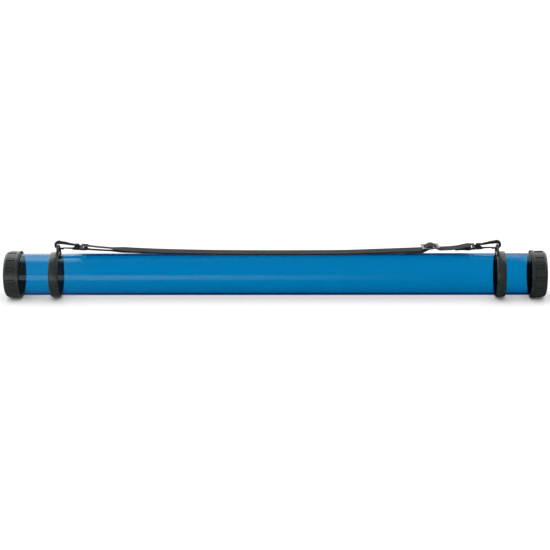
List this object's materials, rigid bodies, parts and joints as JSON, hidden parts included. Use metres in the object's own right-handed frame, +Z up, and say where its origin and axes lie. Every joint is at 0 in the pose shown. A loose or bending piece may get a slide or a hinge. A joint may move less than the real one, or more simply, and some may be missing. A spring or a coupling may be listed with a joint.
{
  "type": "drawing tube",
  "caption": "Transparent tube for rolled drawings, with ribbed screw caps, strap collars, swivel snap hooks and an adjustable webbing shoulder strap.",
  "frame": {"origin": "centre of the footprint, on the surface that the tube lies on", "axes": "+X along the tube from the plain end of the strap to the adjuster end, +Y away from the front, +Z up"},
  "size_m": [0.94, 0.0824, 0.1022],
  "materials": {
    "clear_blue_plastic": "transparent, polished",
    "black_moulding": "satin moulded",
    "hook_plastic": "satin moulded",
    "liner_foam": "soft closed-cell sheet",
    "webbing": "woven polypropylene webbing",
    "nickel_plate": "nickel plated, satin"
  },
  "bodies": {
    "root": {"tube": "clear_blue_plastic", "left_thread_sleeve": "black_moulding", "left_strap_collar": "black_moulding", "right_thread_sleeve": "black_moulding", "right_strap_collar": "black_moulding", "strap_left_end": "webbing", "strap_running_layer": "webbing", "strap_return_layer": "webbing", "strap_right_end": "webbing", "strap_running_to_adjuster": "webbing", "strap_running_from_adjuster": "webbing", "strap_return_to_adjuster": "webbing"},
    "left_liner": {"left_cap_liner": "liner_foam"},
    "left_cap": {"left_cap": "black_moulding"},
    "left_strap_loop": {"left_swivel_loop": "hook_plastic"},
    "left_hook": {"left_hook_body": "hook_plastic"},
    "left_gate": {"left_hook_gate": "hook_plastic"},
    "right_liner": {"right_cap_liner": "liner_foam"},
    "right_cap": {"right_cap": "black_moulding"},
    "right_strap_loop": {"right_swivel_loop": "hook_plastic"},
    "right_hook": {"right_hook_body": "hook_plastic"},
    "right_gate": {"right_hook_gate": "hook_plastic"},
    "adjuster": {"strap_adjuster": "nickel_plate", "strap_over_adjuster": "webbing", "strap_sewn_loop": "webbing"}
  },
  "joints": [
    {"name": "left_cap_pull", "type": "slide", "parent": "root", "child": "left_liner", "axis": [-1, 0, 0], "range_m": [0, 0.06]},
    {"name": "left_cap_turn", "type": "hinge", "parent": "left_liner", "child": "left_cap", "pos_m": [-0.455, 0, 0.04121], "axis": [-1, 0, 0], "continuous": true},
    {"name": "left_hook_swing", "type": "hinge", "parent": "root", "child": "left_strap_loop", "pos_m": [-0.3769, 0, 0.09281], "axis": [0, -1, 0], "range_deg": [0, 40], "deforming": ["strap_left_end"]},
    {"name": "left_hook_swivel", "type": "hinge", "parent": "left_strap_loop", "child": "left_hook", "pos_m": [-0.34814, 0, 0.0913], "axis": [0.9986, 0, -0.0523], "range_deg": [-10, 10]},
    {"name": "left_gate_open", "type": "hinge", "parent": "left_hook", "child": "left_gate", "pos_m": [-0.34989, 0, 0.08839], "axis": [0, 1, 0], "range_deg": [0, 12], "stiffness_Nm_per_rad": 0.03, "springref_deg": -5.73},
    {"name": "right_cap_pull", "type": "slide", "parent": "root", "child": "right_liner", "axis": [1, 0, 0], "range_m": [0, 0.06]},
    {"name": "right_cap_turn", "type": "hinge", "parent": "right_liner", "child": "right_cap", "pos_m": [0.455, 0, 0.04121], "axis": [1, 0, 0], "continuous": true},
    {"name": "right_hook_swing", "type": "hinge", "parent": "root", "child": "right_strap_loop", "pos_m": [0.3856, 0, 0.09281], "axis": [0, 1, 0], "range_deg": [0, 40], "deforming": ["strap_right_end"]},
    {"name": "right_hook_swivel", "type": "hinge", "parent": "right_strap_loop", "child": "right_hook", "pos_m": [0.35684, 0, 0.0913], "axis": [-0.9986, 0, -0.0523], "range_deg": [-10, 10]},
    {"name": "right_gate_open", "type": "hinge", "parent": "right_hook", "child": "right_gate", "pos_m": [0.35859, 0, 0.08839], "axis": [0, -1, 0], "range_deg": [0, 12], "stiffness_Nm_per_rad": 0.03, "springref_deg": -5.73},
    {"name": "adjuster_slide", "type": "slide", "parent": "root", "child": "adjuster", "axis": [0.9993, 0, 0.0363], "range_m": [-0.055, 0.015], "deforming": ["strap_running_to_adjuster", "strap_running_from_adjuster", "strap_return_to_adjuster"]}
  ]
}
